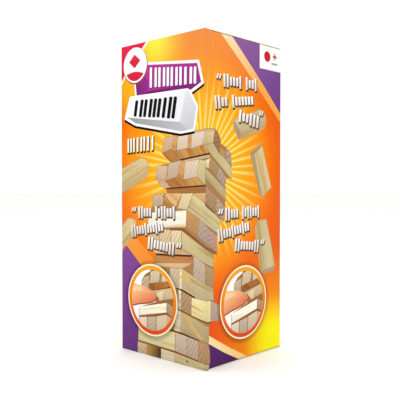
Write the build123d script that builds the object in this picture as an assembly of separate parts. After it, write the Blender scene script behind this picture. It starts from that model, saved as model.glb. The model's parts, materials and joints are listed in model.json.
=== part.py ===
from build123d import *
import os

# Boxed mini tumbling tower: 48 loose wooden blocks, stacked in 16 crossed layers of three, in an upright
# folding carton with a straight tuck end at the top and another at the bottom.
# Millimetres. +Z is up, -Y is the carton's front, +X its right side. The origin is the middle of the base.

# ---- Carton ----
CARTON_WIDTH = 58.0  # X
CARTON_DEPTH = 56.0  # Y
CARTON_HEIGHT = 151.5  # Z
BOARD = 0.45  # board thickness
HINGE_GAP = 0.1  # between a lid and the dust flaps it covers
EDGE_GAP = 0.05  # between a wall's cut edge and the flap or lid that folds over it
LID_FRONT_GAP = 0.15  # between the front wall and a lid's front edge

# ---- Closure flaps ----
DUST_FLAP_REACH = 24.0  # in from the side wall
DUST_FLAP_SLANT = 15.0  # how far the edge near the lid's hinge falls back over that reach
DUST_FLAP_BACK_GAP = 1.2  # from the back wall's outer face
DUST_FLAP_FRONT_GAP = 2.8  # from the front wall's outer face, room for the tuck tab
DUST_FLAP_RADIUS = 3.0
TAB_LENGTH = 10.0
TAB_SIDE_INSET = 2.0  # from the carton's side faces
TAB_TAPER = 1.2  # how much narrower the tab's tip is, each side
TAB_RADIUS = 4.5
TAB_LEAN = 8.0  # degrees that the tucked tab leans in from the front wall

# ---- Glue flap, inside the left wall ----
GLUE_FLAP_WIDTH = 13.0
GLUE_FLAP_END_GAP = 2.6
GLUE_FLAP_MITRE = 4.0

# ---- Blocks ----
BLOCK_LENGTH = 52.5  # three block widths and two gaps
BLOCK_THICKNESS = 8.9
BLOCK_GAP = 0.15  # between neighbours in a layer
BLOCK_WIDTH = (BLOCK_LENGTH - 2 * BLOCK_GAP) / 3
BLOCK_CHAMFER = 0.4
LAYERS = 16
LAYER_PITCH = 9.0
STACK_BASE = 2 * BOARD + 2 * HINGE_GAP  # the stack stands on the bottom dust flaps
STACK_OFFSET_Y = 0.95  # the stack stands nearer the back, clear of the tuck tabs

HALF_WIDTH = CARTON_WIDTH / 2
HALF_DEPTH = CARTON_DEPTH / 2
INNER_HALF_WIDTH = HALF_WIDTH - BOARD
INNER_HALF_DEPTH = HALF_DEPTH - BOARD
LID_FRONT = -INNER_HALF_DEPTH + LID_FRONT_GAP
TOP = CARTON_HEIGHT


def slab(low, high):
    """A box between two opposite corners."""
    size = [b - a for a, b in zip(low, high)]
    middle = [(a + b) / 2 for a, b in zip(low, high)]
    return Pos(*middle) * Box(*size)


def upside_down(solid):
    """The same solid at the other end of the carton."""
    return mirror(solid, Plane.XY.offset(TOP / 2))


def other_side(solid):
    """The same solid on the carton's other side."""
    return mirror(solid, Plane.YZ)


def front_wall():
    return slab((-HALF_WIDTH, -HALF_DEPTH, 0), (HALF_WIDTH, -INNER_HALF_DEPTH, TOP))


def back_wall():
    """The back wall, between the two lids that fold over its edges."""
    end = BOARD + EDGE_GAP
    return slab((-HALF_WIDTH, INNER_HALF_DEPTH, end), (HALF_WIDTH, HALF_DEPTH, TOP - end))


def glue_flap():
    """The back wall's strip that is glued inside the left wall, with mitred ends."""
    back = INNER_HALF_DEPTH
    front = back - GLUE_FLAP_WIDTH
    low = GLUE_FLAP_END_GAP
    high = TOP - GLUE_FLAP_END_GAP
    outline = Polyline(
        (back, low),
        (back, high),
        (front, high - GLUE_FLAP_MITRE),
        (front, low + GLUE_FLAP_MITRE),
        close=True,
    )
    on_left_wall = Plane.YZ.offset(-INNER_HALF_WIDTH)
    return extrude(on_left_wall * make_face(outline), BOARD)


def side_wall():
    """The right wall, between the dust flaps that fold in from its ends."""
    end = 2 * BOARD + HINGE_GAP + EDGE_GAP
    low = (INNER_HALF_WIDTH, -INNER_HALF_DEPTH, end)
    high = (HALF_WIDTH, INNER_HALF_DEPTH, TOP - end)
    return slab(low, high)


def lid():
    """The top lid. It covers the side and back walls' edges and stops just inside the front wall."""
    return slab((-HALF_WIDTH, LID_FRONT, TOP - BOARD), (HALF_WIDTH, HALF_DEPTH, TOP))


def tuck_tab():
    """The top lid's tab, hanging inside the front wall and leaning in towards the blocks."""
    root = HALF_WIDTH - TAB_SIDE_INSET
    tip = root - TAB_TAPER
    start = -HINGE_GAP
    end = -TAB_LENGTH
    face = make_face(Polyline((-root, start), (root, start), (tip, end), (-tip, end), close=True))
    face = fillet(face.vertices().sort_by(Axis.Y)[:2], TAB_RADIUS)
    upright = extrude(Plane.XZ * face, -BOARD)
    return Pos(0, LID_FRONT, TOP - BOARD) * Rot(X=TAB_LEAN) * upright


def dust_flap():
    """The top dust flap on the right, folded in flat under the lid."""
    back = HALF_DEPTH - DUST_FLAP_BACK_GAP
    front = -HALF_DEPTH + DUST_FLAP_FRONT_GAP
    tip = HALF_WIDTH - DUST_FLAP_REACH
    outline = Polyline(
        (HALF_WIDTH, front),
        (HALF_WIDTH, back),
        (tip, back - DUST_FLAP_SLANT),
        (tip, front),
        close=True,
    )
    face = make_face(outline)
    face = fillet(face.vertices().sort_by(Axis.X)[:2], DUST_FLAP_RADIUS)
    return Pos(0, 0, TOP - 2 * BOARD - HINGE_GAP) * extrude(face, BOARD)


def block(layer, place):
    """One block. Odd layers run front to back, even layers side to side; place is -1, 0 or 1."""
    across = place * (BLOCK_WIDTH + BLOCK_GAP)
    z = STACK_BASE + (layer - 1) * LAYER_PITCH + BLOCK_THICKNESS / 2
    plain = Box(BLOCK_WIDTH, BLOCK_LENGTH, BLOCK_THICKNESS)
    eased = chamfer(plain.edges(), BLOCK_CHAMFER)
    if layer % 2:
        return Pos(across, STACK_OFFSET_Y, z) * eased
    return Pos(0, STACK_OFFSET_Y + across, z) * Rot(Z=90) * eased


def block_nodes():
    """Every block by name: its layer, and its place in the layer."""
    nodes = {}
    for layer in range(1, LAYERS + 1):
        places = ("left", "middle", "right") if layer % 2 else ("front", "middle", "back")
        for step, place in enumerate(places):
            nodes[f"block_{layer:02d}_{place}"] = block(layer, step - 1)
    return nodes


def carton_nodes():
    return {
        "front_panel": front_wall(),
        "back_panel": Compound(children=[back_wall(), glue_flap()]),
        "left_panel": other_side(side_wall()),
        "right_panel": side_wall(),
        "top_lid": lid(),
        "top_tuck_tab": tuck_tab(),
        "top_dust_flap_left": other_side(dust_flap()),
        "top_dust_flap_right": dust_flap(),
        "bottom_lid": upside_down(lid()),
        "bottom_tuck_tab": upside_down(tuck_tab()),
        "bottom_dust_flap_left": upside_down(other_side(dust_flap())),
        "bottom_dust_flap_right": upside_down(dust_flap()),
    }


os.makedirs("parts", exist_ok=True)
for name, solid in {**carton_nodes(), **block_nodes()}.items():
    export_step(solid, f"parts/{name}.step")
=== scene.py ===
import json
import math
import random

import bmesh
import bpy
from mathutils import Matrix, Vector
from mathutils.geometry import delaunay_2d_cdt

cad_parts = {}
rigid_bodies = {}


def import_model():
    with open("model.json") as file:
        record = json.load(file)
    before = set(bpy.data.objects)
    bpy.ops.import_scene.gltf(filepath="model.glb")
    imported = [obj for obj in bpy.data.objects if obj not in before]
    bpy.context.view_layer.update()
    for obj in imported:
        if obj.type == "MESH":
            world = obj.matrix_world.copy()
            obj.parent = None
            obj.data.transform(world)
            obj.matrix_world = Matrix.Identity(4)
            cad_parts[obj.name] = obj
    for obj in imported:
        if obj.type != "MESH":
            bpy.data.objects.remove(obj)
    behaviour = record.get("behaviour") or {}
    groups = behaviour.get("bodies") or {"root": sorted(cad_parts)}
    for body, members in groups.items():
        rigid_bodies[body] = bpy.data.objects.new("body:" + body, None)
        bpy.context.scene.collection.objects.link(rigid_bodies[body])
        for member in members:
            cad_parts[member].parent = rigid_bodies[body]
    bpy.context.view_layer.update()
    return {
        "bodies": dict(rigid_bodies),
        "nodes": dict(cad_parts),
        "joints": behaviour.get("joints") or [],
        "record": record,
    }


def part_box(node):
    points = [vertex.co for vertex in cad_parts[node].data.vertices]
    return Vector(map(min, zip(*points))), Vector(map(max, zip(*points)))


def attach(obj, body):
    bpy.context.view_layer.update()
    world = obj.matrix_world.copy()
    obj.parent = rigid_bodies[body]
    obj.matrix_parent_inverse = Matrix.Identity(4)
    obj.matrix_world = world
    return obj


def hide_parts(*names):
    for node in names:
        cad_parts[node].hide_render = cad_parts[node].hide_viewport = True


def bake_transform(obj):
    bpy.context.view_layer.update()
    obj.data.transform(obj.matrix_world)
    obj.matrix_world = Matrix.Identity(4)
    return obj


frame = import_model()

# The carton's print is drawn in millimetres on the unfolded board: u runs to the right and v up, from the
# lower left corner of each wall as it is seen from outside. The two walls of a pair share one u, so the
# artwork runs round the crease between them. Everything else is in metres.
MM = 0.001

# ---- Sizes from the CAD frame, in millimetres ----
wall_low, wall_high = (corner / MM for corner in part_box("front_panel"))
lid_low, lid_high = (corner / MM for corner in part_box("top_lid"))
tab_low, tab_high = (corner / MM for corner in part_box("top_tuck_tab"))
flap_low, flap_high = (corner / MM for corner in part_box("top_dust_flap_right"))
block_low, block_high = (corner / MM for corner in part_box("block_01_left"))
stack_low = block_low.z
half_length = (block_high.y - block_low.y) / 2
layer_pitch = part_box("block_02_front")[0].z / MM - stack_low

WIDTH = wall_high.x - wall_low.x
DEPTH = lid_high.y - wall_low.y
HEIGHT = wall_high.z
BOARD = wall_high.y - wall_low.y
LID_FRONT = lid_low.y
FLAP_TOP = flap_high.z
SIDE_START = WIDTH  # where the side wall's artwork begins

# ---- Sizes that the frame doesn't hold ----
BLOCK_GAP = 0.15  # between neighbours in a layer
CREASE = 0.7  # outer radius of every crease
WEAR_AND_SHADE_REACH = 1.3 * CREASE  # how far the wear and the painted crease shade spread from a crease's ridge
TAB_LEAN = math.radians(8)
TAB_TAPER = 1.2
TAB_RADIUS = 4.5
FLAP_SLANT = 15.0
FLAP_RADIUS = 3.0
GLUE_REACH = 13.0
GLUE_MITRE = 4.0
GLUE_END_GAP = 2.6

SEED = 7
random.seed(SEED)


# ---- Colours ----

def linear(code):
    """A linear colour from a hexadecimal sRGB one."""
    parts = [int(code[i:i + 2], 16) / 255 for i in (0, 2, 4)]
    return tuple(p / 12.92 if p <= 0.04045 else ((p + 0.055) / 1.055) ** 2.4 for p in parts)


def flat(code):
    """The same ink all over a shape."""
    colour = linear(code)
    return lambda u, v: colour


def fade(code_a, code_b, a, b):
    """Ink that changes evenly from one colour at point a to another at point b."""
    first, last = linear(code_a), linear(code_b)
    du, dv = b[0] - a[0], b[1] - a[1]
    length = du * du + dv * dv

    def ink(u, v):
        t = min(max(((u - a[0]) * du + (v - a[1]) * dv) / length, 0), 1)
        return tuple(p + (q - p) * t for p, q in zip(first, last))
    return ink


# ---- Shader building ----

class Graph:
    """A short way to write a material's nodes: its methods add nodes and return their result. Colours are
    written as hexadecimal codes."""

    def __init__(self, name):
        self.material = bpy.data.materials.new(name)
        self.material.use_nodes = True
        self.tree = self.material.node_tree
        self.shader = self.tree.nodes["Principled BSDF"]

    def node(self, kind, inputs=(), **settings):
        made = self.tree.nodes.new(kind)
        for key, value in settings.items():
            setattr(made, key, value)
        for key, value in dict(inputs).items():
            self.feed(made.inputs[key], value)
        return made

    def feed(self, socket, value):
        if isinstance(value, bpy.types.NodeSocket):
            self.tree.links.new(value, socket)
        elif isinstance(value, str):
            socket.default_value = (*linear(value), 1)
        else:
            socket.default_value = value

    def math(self, operation, a, b=0.0, c=0.0, clamp=False):
        made = self.node("ShaderNodeMath", {0: a, 1: b, 2: c}, operation=operation, use_clamp=clamp)
        return made.outputs[0]

    def times(self, a, b, clamp=False):
        return self.math("MULTIPLY", a, b, clamp=clamp)

    def minus(self, a, b):
        return self.math("SUBTRACT", a, b)

    def line(self, a, scale, offset):
        """a times scale, plus offset."""
        return self.math("MULTIPLY_ADD", a, scale, offset)

    def length(self, x, y):
        return self.node("ShaderNodeVectorMath", {0: self.join(x, y)}, operation="LENGTH").outputs["Value"]

    def scaled(self, a, scale):
        return self.node("ShaderNodeVectorMath", {0: a, 1: scale}, operation="MULTIPLY").outputs[0]

    def attribute(self, name, output="Vector"):
        return self.node("ShaderNodeAttribute", attribute_name=name).outputs[output]

    def object_place(self):
        """A point in its object's own frame, in millimetres."""
        place = self.node("ShaderNodeTexCoord").outputs["Object"]
        return self.scaled(place, (1 / MM, 1 / MM, 1 / MM))

    def split(self, vector):
        return self.node("ShaderNodeSeparateXYZ", {0: vector}).outputs

    def join(self, x, y, z=0.0):
        return self.node("ShaderNodeCombineXYZ", {0: x, 1: y, 2: z}).outputs[0]

    def noise(self, vector, scale=1.0, detail=2.0, rough=0.5):
        inputs = {"Vector": vector, "Scale": scale, "Detail": detail, "Roughness": rough}
        return self.node("ShaderNodeTexNoise", inputs).outputs[0]

    def ramp(self, value, low, high, out_low=0.0, out_high=1.0):
        """A smooth step between the two outputs."""
        inputs = {0: value, 1: low, 2: high, 3: out_low, 4: out_high}
        return self.node("ShaderNodeMapRange", inputs, interpolation_type="SMOOTHSTEP").outputs[0]

    def mix(self, share, a, b, kind="MIX"):
        made = self.node("ShaderNodeMix", data_type="RGBA", blend_type=kind)
        for place, value in ((0, share), (6, a), (7, b)):
            self.feed(made.inputs[place], value)
        return made.outputs[2]

    def dimmed(self, colour, light):
        """The colour at a lower light, 0 to 1."""
        grey = self.node("ShaderNodeCombineColor", {0: light, 1: light, 2: light}).outputs[0]
        return self.mix(1.0, colour, grey, "MULTIPLY")

    def colours(self, value, stops):
        made = self.node("ShaderNodeValToRGB", {0: value})
        points = made.color_ramp.elements
        while len(points) < len(stops):
            points.new(0.5)
        for point, (place, code) in zip(points, stops):
            point.position = place
            point.color = (*linear(code), 1)
        return made.outputs[0]

    def bump(self, height, strength, distance):
        inputs = {"Height": height, "Strength": strength, "Distance": distance}
        return self.node("ShaderNodeBump", inputs).outputs[0]

    def finish(self, **sockets):
        for name, value in sockets.items():
            self.feed(self.shader.inputs[name.replace("_", " ")], value)
        return self.material


def printed(g, ink):
    """Ink under a glossy laminate: soft drawn shadows, mottled ink, painted shade that darkens the ink along
    the creases, and board showing where the creases are worn."""
    place = g.attribute("art")
    shade = g.split(place)[2]
    mottle = g.noise(place, 0.9, 4.0, 0.65)
    light = g.times(g.minus(1.0, shade), g.ramp(mottle, 0.2, 0.8, 0.79, 0.87))
    wear_and_crease_shade = g.attribute("wear_and_crease_shade", "Fac")
    # painted shade: the ink darkens by up to 16% along each crease, most at its ridge
    inked = g.dimmed(g.dimmed(ink, light), g.line(wear_and_crease_shade, -0.16, 1.0))
    chipped = g.ramp(g.noise(place, 2.2, 5.0, 0.7), 0.5, 0.72)
    worn = g.times(wear_and_crease_shade, g.times(chipped, 0.4), clamp=True)
    colour = g.mix(worn, inked, "f3ead8")
    ripple = g.noise(place, 0.35, 3.0, 0.5)
    grain = g.noise(place, 7.0, 2.0, 0.6)
    height = g.line(grain, 0.04, ripple)
    rough = g.ramp(mottle, 0.2, 0.8, 0.33, 0.45)
    return g.finish(Base_Color=colour, Roughness=rough, Coat_Weight=0.22, Coat_Roughness=0.12, Coat_IOR=1.4,
                    Specular_IOR_Level=0.0, Normal=g.bump(height, 0.12, 0.0004))


def ink_material():
    """Plain inks. Each shape's colour, even or fading, comes with its mesh."""
    g = Graph("printed_ink")
    return printed(g, g.attribute("ink", "Color"))


GLOW_CENTRE = (52.0, 92.0)
RAYS_CENTRE = (56.0, 89.5)
TOP_GLOW = (26.0, 151.0)
SIDE_GLOW = (9.0, 131.0)
LOW_GLOW = (108.0, 5.0)
LOW_EMBER = (68.0, 16.0)


def sunburst_material():
    """The orange ground: a sunburst behind the tower, an amber glow and a yellow one near the top, a painted
    sheen that pales the orange near the top, and a red ember and a yellow glow low on the side."""
    g = Graph("printed_sunburst")
    u, v, _ = g.split(g.attribute("art"))

    def from_point(point):
        along = g.minus(u, point[0])
        up = g.minus(v, point[1])
        return g.length(along, up), along, up

    def glow(under, centre, edge, core, strength, code):
        """A soft round glow: none at its edge, full strength inside its core."""
        away, _, _ = from_point(centre)
        return g.mix(g.ramp(away, edge, core, 0.0, strength), under, code)

    away, _, _ = from_point(GLOW_CENTRE)
    ground = g.colours(g.math("DIVIDE", away, 100.0), (
        (0.18, "fbbd26"),
        (0.28, "fbb11a"),
        (0.36, "faa212"),
        (0.46, "f88f0e"),
        (0.53, "f57407"),
        (0.60, "ee6308"),
        (0.75, "e5570c"),
    ))
    ground = glow(ground, SIDE_GLOW, 21.0, 3.0, 0.9, "fcb91c")
    away, along, up = from_point(RAYS_CENTRE)
    angle = g.math("ARCTAN2", up, along)
    wobble = g.noise(g.join(g.math("COSINE", angle), g.math("SINE", angle)), 2.6, 2.0)
    turns = g.line(wobble, 9.0, g.times(angle, 52.0))
    stripe = g.ramp(g.math("SINE", turns), 0.05, 0.9)
    reach = g.line(g.noise(g.join(turns, 0.0), 0.35, 1.0), 44.0, 26.0)
    gone = g.ramp(g.math("DIVIDE", away, reach), 0.35, 1.0, 1.0, 0.0)
    ground = g.mix(g.times(stripe, gone), ground, "ffe984")
    ground = glow(ground, TOP_GLOW, 26.0, 0.0, 0.95, "fff34a")
    # painted sheen: the orange pales towards f8a95c near the top, from the middle of the front round onto the
    # side wall
    painted_sheen = g.times(g.ramp(v, 118.0, 156.0, 0.0, 0.6), g.ramp(u, 24.0, 52.0))
    ground = g.mix(painted_sheen, ground, "f8a95c")
    ground = glow(ground, LOW_EMBER, 27.0, 6.0, 0.95, "ec4f0e")
    ground = glow(ground, LOW_GLOW, 52.0, 18.0, 0.8, "f9930a")
    ground = glow(ground, LOW_GLOW, 26.0, 5.0, 1.0, "fdf204")
    return printed(g, ground)


UNDERSIDE_SEEDS = 60.0  # faces seen from below have seeds above this, and stronger grain


def printed_side_material():
    """The printed picture of a block's long face: pale grain along it."""
    g = Graph("printed_wood_side")
    ink = g.attribute("ink", "Color")
    grain = g.attribute("grain")
    broad = g.noise(g.scaled(grain, (0.03, 0.42, 3.1)), 1.0, 3.0, 0.6)
    fine = g.noise(g.scaled(grain, (0.05, 2.4, 5.7)), 1.0, 3.0, 0.6)
    lines = g.line(g.ramp(broad, 0.48, 0.66), 0.65, g.ramp(fine, 0.5, 0.75, 0.0, 0.35))
    _, _, seed = g.split(grain)
    strength = g.ramp(seed, UNDERSIDE_SEEDS - 0.5, UNDERSIDE_SEEDS, 1.0, 1.9)
    dark = g.mix(1.0, ink, "e8c492", "MULTIPLY")
    return printed(g, g.mix(g.times(lines, strength), ink, dark))


def printed_end_material():
    """The printed picture of a block's end: growth rings cut across."""
    g = Graph("printed_wood_end")
    ink = g.attribute("ink", "Color")
    grain = g.attribute("grain")
    x, y, seed = g.split(grain)
    lean = g.line(g.math("SINE", g.times(seed, 12.9)), 12.0, 24.0)
    away = g.length(g.math("ADD", x, lean), g.minus(y, 24.0))
    warp = g.noise(g.scaled(grain, (0.12, 0.12, 4.0)), 1.0, 2.0)
    rings = g.math("SINE", g.times(g.line(warp, 4.0, away), 3.6))
    pores = g.noise(g.scaled(grain, (1.6, 1.6, 2.0)), 1.0, 3.0, 0.7)
    strength = g.ramp(g.noise(g.join(seed, 0.0), 3.7, 0.0), 0.3, 0.7, 0.2, 0.6)
    lines = g.line(g.ramp(rings, 0.0, 1.0), strength, g.ramp(pores, 0.5, 0.75, 0.0, 0.3))
    dark = g.mix(1.0, ink, "d0aa82", "MULTIPLY")
    return printed(g, g.mix(lines, ink, dark))


def board_material(name, pale, dull):
    """Bare board: grey-white fibres, a few darker flecks, little shine."""
    g = Graph(name)
    place = g.object_place()
    clouds = g.noise(place, 0.25, 4.0, 0.6)
    fibres = g.noise(g.scaled(place, (3.0, 3.0, 0.6)), 1.0, 4.0, 0.7)
    flecks = g.ramp(g.noise(place, 2.4, 2.0, 0.8), 0.68, 0.74, 0.0, 0.3)
    body = g.mix(g.line(clouds, 0.5, g.times(fibres, 0.5)), pale, dull)
    colour = g.mix(flecks, body, "8d8271")
    rough = g.ramp(fibres, 0.2, 0.8, 0.78, 0.95)
    return g.finish(Base_Color=colour, Roughness=rough, Specular_IOR_Level=0.2,
                    Normal=g.bump(fibres, 0.35, 0.00008))


def stack_middle(x):
    """The middle of the stack across the carton, or front to back."""
    return 0.0 if x else (block_low.y + block_high.y) / 2


def pine_material(name, along_x):
    """Real pine for the blocks. Rings are worked out in the solid, so faces and ends agree, and every block
    has its own heart, tint and waviness, from its place in the stack."""
    g = Graph(name)
    x, y, z = g.split(g.object_place())
    along, across = (x, y) if along_x else (y, x)
    layer = g.math("FLOOR", g.math("DIVIDE", g.minus(z, stack_low - 0.05), layer_pitch))
    pitch = (block_high.x - block_low.x) + BLOCK_GAP
    middle = stack_middle(not along_x)
    row = g.math("ROUND", g.math("DIVIDE", g.minus(across, middle), pitch))
    own = g.node("ShaderNodeTexWhiteNoise", {"Vector": g.join(layer, row, 3.0)}, noise_dimensions="3D")
    own_a, own_b, own_c = g.split(own.outputs["Color"])
    heart_across = g.line(own_a, 36.0, -18.0)
    heart_up = g.line(own_b, -26.0, -3.0)
    slow = g.noise(g.join(g.times(along, 0.022), own_a, own_b), 1.0, 1.0)
    drift = g.line(slow, 26.0, -13.0)
    local_up = g.minus(z, g.line(layer, layer_pitch, stack_low))
    local_across = g.minus(across, g.line(row, pitch, middle))
    from_heart = g.math("ADD", g.minus(local_across, heart_across), drift)
    radius = g.length(from_heart, g.minus(local_up, heart_up))
    warp = g.noise(g.join(g.times(along, 0.05), local_across, local_up), 0.22, 2.0)
    ring = g.math("FRACT", g.times(g.line(warp, 1.6, radius), 0.62))
    late = g.times(g.ramp(ring, 0.3, 0.92), g.ramp(ring, 1.0, 0.93))

    def rim(from_middle, half):
        """How near the block's edge a point is, 0 to 1."""
        return g.ramp(g.math("ABSOLUTE", from_middle), half - 0.75, half - 0.2)

    # darker brown, up to a 55% mix with 8f6030, towards each block's edges and ends
    darker_at_edges = g.math("MAXIMUM", rim(local_across, pitch / 2),
                     rim(g.minus(along, stack_middle(along_x)), half_length))
    stretched = g.join(g.times(along, 0.09), g.times(local_across, 4.0), g.times(local_up, 4.0))
    hair = g.noise(stretched, 1.0, 4.0, 0.7)
    tint = g.mix(own_c, "f0d9a6", "e2bd82")
    ringed = g.mix(g.times(late, 0.6), tint, "c58f4e")
    colour = g.mix(g.ramp(hair, 0.35, 0.75, 0.0, 0.3), ringed, "b9874c")
    colour = g.mix(g.times(darker_at_edges, 0.55), colour, "8f6030")
    knot_up = g.line(own_c, 17.0, g.times(z, 0.02))
    knots = g.noise(g.join(g.times(along, 0.11), g.times(local_across, 0.2), knot_up), 1.0, 0.0)
    colour = g.mix(g.ramp(knots, 0.83, 0.87, 0.0, 0.8), colour, "7a4a22")
    rough = g.ramp(hair, 0.2, 0.8, 0.5, 0.68)
    height = g.line(hair, 0.6, g.times(late, 0.4))
    return g.finish(Base_Color=colour, Roughness=rough, Specular_IOR_Level=0.3,
                    Normal=g.bump(height, 0.35, 0.00012))


INK, SUNBURST, SIDE, END, INSIDE, EDGE = range(6)


def card_materials():
    """The carton's materials, in the order of the numbers above."""
    return [
        ink_material(),
        sunburst_material(),
        printed_side_material(),
        printed_end_material(),
        board_material("board_inside", "e9e4d8", "cfc8b8"),
        board_material("board_cut_edge", "efe9dc", "d6cdba"),
    ]


# ---- Outlines, in millimetres ----

def rectangle(u0, v0, u1, v1):
    return [(u0, v0), (u1, v0), (u1, v1), (u0, v1)]


def circle(centre, radius, count=72, squash=1.0):
    steps = [2 * math.pi * i / count for i in range(count)]
    return [(centre[0] + radius * math.cos(a), centre[1] + squash * radius * math.sin(a)) for a in steps]


def rounded(points, radius, count=4):
    """The outline with each corner rounded by a curve."""
    made = []
    for i, corner in enumerate(points):
        here = Vector(corner)
        sides = [Vector(points[i - 1]) - here, Vector(points[(i + 1) % len(points)]) - here]
        a, b = (here + side.normalized() * min(radius, side.length * 0.45) for side in sides)
        for k in range(count + 1):
            t = k / count
            made.append(tuple(a * (1 - t) ** 2 + here * 2 * t * (1 - t) + b * t * t))
    return made


def smooth(points, count=5):
    """A closed curve through the points."""
    made = []
    total = len(points)
    for i in range(total):
        p0, p1, p2, p3 = (Vector(points[(i + k) % total]) for k in (-1, 0, 1, 2))
        for k in range(count):
            t = k / count
            made.append(tuple(0.5 * (2 * p1 + (p2 - p0) * t + (2 * p0 - 5 * p1 + 4 * p2 - p3) * t * t
                                     + (3 * p1 - p0 - 3 * p2 + p3) * t ** 3)))
    return made


def moved(points, du, dv):
    return [(u + du, v + dv) for u, v in points]


def grown(points, by):
    """The outline pushed outwards, corner by corner; a negative distance pulls it in."""
    ring = [Vector(p) for p in points]
    turn = 1 if area(points) > 0 else -1
    made = []
    for i, here in enumerate(ring):
        a = (here - ring[i - 1]).normalized()
        b = (ring[(i + 1) % len(ring)] - here).normalized()
        normal = Vector((a.y + b.y, -a.x - b.x)) * turn
        if normal.length < 1e-6:
            made.append(tuple(here))
            continue
        normal.normalize()
        lean = max(normal.dot(Vector((a.y, -a.x)) * turn), 0.4)
        made.append(tuple(here + normal * (by / lean)))
    return made


def area(points):
    total = 0
    for (ua, va), (ub, vb) in zip(points, points[1:] + points[:1]):
        total += ua * vb - ub * va
    return total / 2


def clipped(points, window):
    """The part of an outline inside a convex one that runs anticlockwise."""
    kept = list(points)
    for (ua, va), (ub, vb) in zip(window, window[1:] + window[:1]):
        if not kept:
            break

        def side(p):
            return (ub - ua) * (p[1] - va) - (vb - va) * (p[0] - ua)
        old, kept = kept, []
        for p, q in zip(old, old[1:] + old[:1]):
            sp, sq = side(p), side(q)
            if sp >= 0:
                kept.append(p)
            if sp * sq < 0:
                t = sp / (sp - sq)
                kept.append((p[0] + (q[0] - p[0]) * t, p[1] + (q[1] - p[1]) * t))
    return kept


# ---- Printed artwork ----

class Shape:
    """One printed shape: its outline, its ink (a colour code or a function of the place), which material it
    takes, and its own frame for wood grain."""

    def __init__(self, points, ink, material=INK, frame=None, seed=0.0):
        self.points = points
        self.ink = flat(ink) if isinstance(ink, str) else ink
        self.material = material
        self.frame = frame
        self.seed = seed

    def grain(self, u, v):
        if self.frame is None:
            return (u, v, self.seed)
        origin, first, second = self.frame
        du, dv = u - origin[0], v - origin[1]
        turn = first[0] * second[1] - first[1] * second[0]
        if abs(turn) < 1e-9:
            return (0.0, 0.0, self.seed)
        return ((du * second[1] - dv * second[0]) / turn, (first[0] * dv - first[1] * du) / turn, self.seed)


def shaded(code, share):
    """A colour code with each channel scaled."""
    return "".join(f"{min(int(int(code[i:i + 2], 16) * share), 255):02x}" for i in (0, 2, 4))


SEAM = "946a3e"
SEAM_SPREAD = 0.1  # how far the backing reaches beyond a face
FACE_SHRINK = 0.06  # how far the face draws back from its outline
FACE_DARK, FACE_LIGHT = 0.93, 1.03  # its shades at the first and the last corner
RUNS_ALONG = {"side": SIDE, "under": SIDE, "end": END}


def wood(kind, code, *corners):
    """A printed block face: its grain starts at the first corner and runs towards the second, and it is a
    little darker there than at the last one."""
    p0, p1, p3 = Vector(corners[0]), Vector(corners[1]), Vector(corners[-1])
    frame = (corners[0], tuple((p1 - p0).normalized()), tuple((p3 - p0).normalized()))
    ink = fade(shaded(code, FACE_LIGHT), shaded(code, FACE_DARK), corners[-1], corners[0])
    seed = random.uniform(0, 50) + (UNDERSIDE_SEEDS if kind == "under" else 0.0)
    return Shape(grown(corners, -FACE_SHRINK), ink, RUNS_ALONG[kind], frame, seed)


def faces(rows, seam=SEAM):
    """Block faces over a dark backing that shows as seams between them. A "line" row is a plain shape."""
    made = []
    for kind, code, *corners in rows:
        if kind == "line":
            made.append(Shape(corners, code))
            continue
        made.append(Shape(grown(corners, SEAM_SPREAD), seam))
        made.append(wood(kind, code, *corners))
    return made


CREAM, STRAW, SAND, BUFF = "fbf4e2", "e5dda8", "d8c794", "ccba8a"
BLUSH, ROSE, TAUPE, TAN, HAZEL = "e4d2ba", "cfb9a4", "bea896", "dcc398", "bd996f"
GOLD, AMBER, RUST, UMBER, DARK = "dba867", "cc9c58", "bb8149", "8e5527", "4a2a12"

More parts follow.
